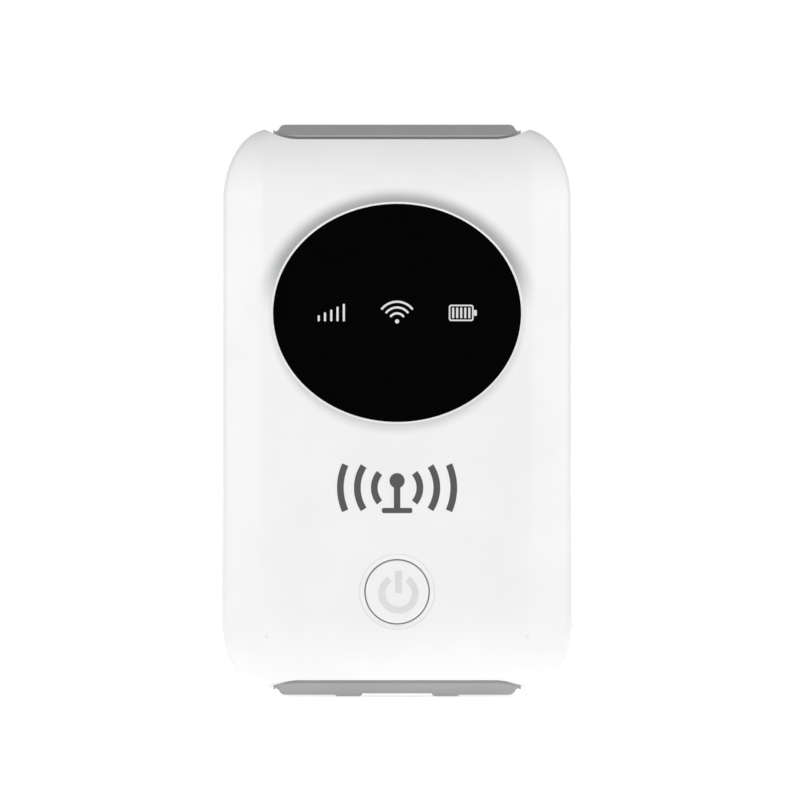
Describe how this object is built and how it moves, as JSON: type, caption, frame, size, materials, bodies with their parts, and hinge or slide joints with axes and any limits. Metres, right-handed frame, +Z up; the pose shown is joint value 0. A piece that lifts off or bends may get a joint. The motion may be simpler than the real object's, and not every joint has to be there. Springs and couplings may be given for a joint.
{
  "type": "mobile hotspot",
  "caption": "Pocket wireless hotspot: rounded white case on a grey frame, oval display window, round power key, charging port and a lift-off rear cover over the battery.",
  "frame": {"origin": "under the middle of the case, level with the two feet of the lower end bar", "axes": "+X to the right seen from the front, +Y out of the rear cover, +Z up towards the plain end bar"},
  "size_m": [0.06, 0.015, 0.098],
  "materials": {
    "shell_white": "gloss",
    "cover_white": "gloss",
    "frame_grey": "matte",
    "window_black": "gloss",
    "tape": "matte",
    "diffuser": "matte",
    "black_plastic": "matte",
    "led": "gloss",
    "board": "satin",
    "chip": "matte",
    "tinplate": "satin",
    "steel": "satin",
    "gold": "polished",
    "sim_plastic": "satin",
    "battery_wrap": "matte",
    "foam": "matte",
    "flex": "satin"
  },
  "bodies": {
    "case": {"front_shell": "shell_white", "middle_frame": "frame_grey", "display_lens": "window_black", "lens_adhesive": "tape", "icon_diffuser": "diffuser", "light_guide_block": "black_plastic", "led_signal": "led", "led_wifi": "led", "led_battery": "led", "main_board": "board", "power_switch": "tinplate", "reset_switch": "tinplate", "baseband_chip": "chip", "memory_chip": "chip", "power_chip": "chip", "radio_chip": "chip", "wifi_chip": "chip", "baseband_shield": "tinplate", "radio_shield": "tinplate", "wifi_shield": "tinplate", "sim_socket": "tinplate", "usb_shell": "steel", "usb_tongue": "black_plastic", "battery_connector": "black_plastic", "battery_contact_1": "gold", "battery_contact_2": "gold", "battery_contact_3": "gold", "main_antenna": "flex", "diversity_antenna": "flex", "wifi_antenna": "flex", "screw_bottom_left": "steel", "screw_bottom_right": "steel", "screw_top_left": "steel", "screw_top_right": "steel"},
    "key": {"power_button": "shell_white", "power_plunger": "black_plastic"},
    "reset": {"reset_plunger": "black_plastic"},
    "sim": {"sim_card": "sim_plastic"},
    "battery": {"battery_cell": "battery_wrap", "battery_cap": "black_plastic", "battery_terminal_1": "gold", "battery_terminal_2": "gold", "battery_terminal_3": "gold"},
    "cover": {"rear_cover": "cover_white", "foam_pad": "foam"}
  },
  "joints": [
    {"name": "power_press", "type": "slide", "parent": "case", "child": "key", "axis": [0, 1, 0], "range_m": [0, 0.0004], "stiffness_N_per_m": 1500},
    {"name": "reset_press", "type": "slide", "parent": "case", "child": "reset", "axis": [0, -1, 0], "range_m": [0, 0.0003], "stiffness_N_per_m": 800},
    {"name": "sim_slide", "type": "slide", "parent": "case", "child": "sim", "axis": [1, 0, 0], "range_m": [0, 0.014]},
    {"name": "cover_lift", "type": "slide", "parent": "case", "child": "cover", "axis": [0, 1, 0], "range_m": [0, 0.03]},
    {"name": "battery_lift", "type": "slide", "parent": "case", "child": "battery", "axis": [0, 1, 0], "range_m": [0, 0.015]}
  ],
  "couplings": [
    {"joint": "battery_lift", "follows": "cover_lift", "ratio": 0.5}
  ]
}
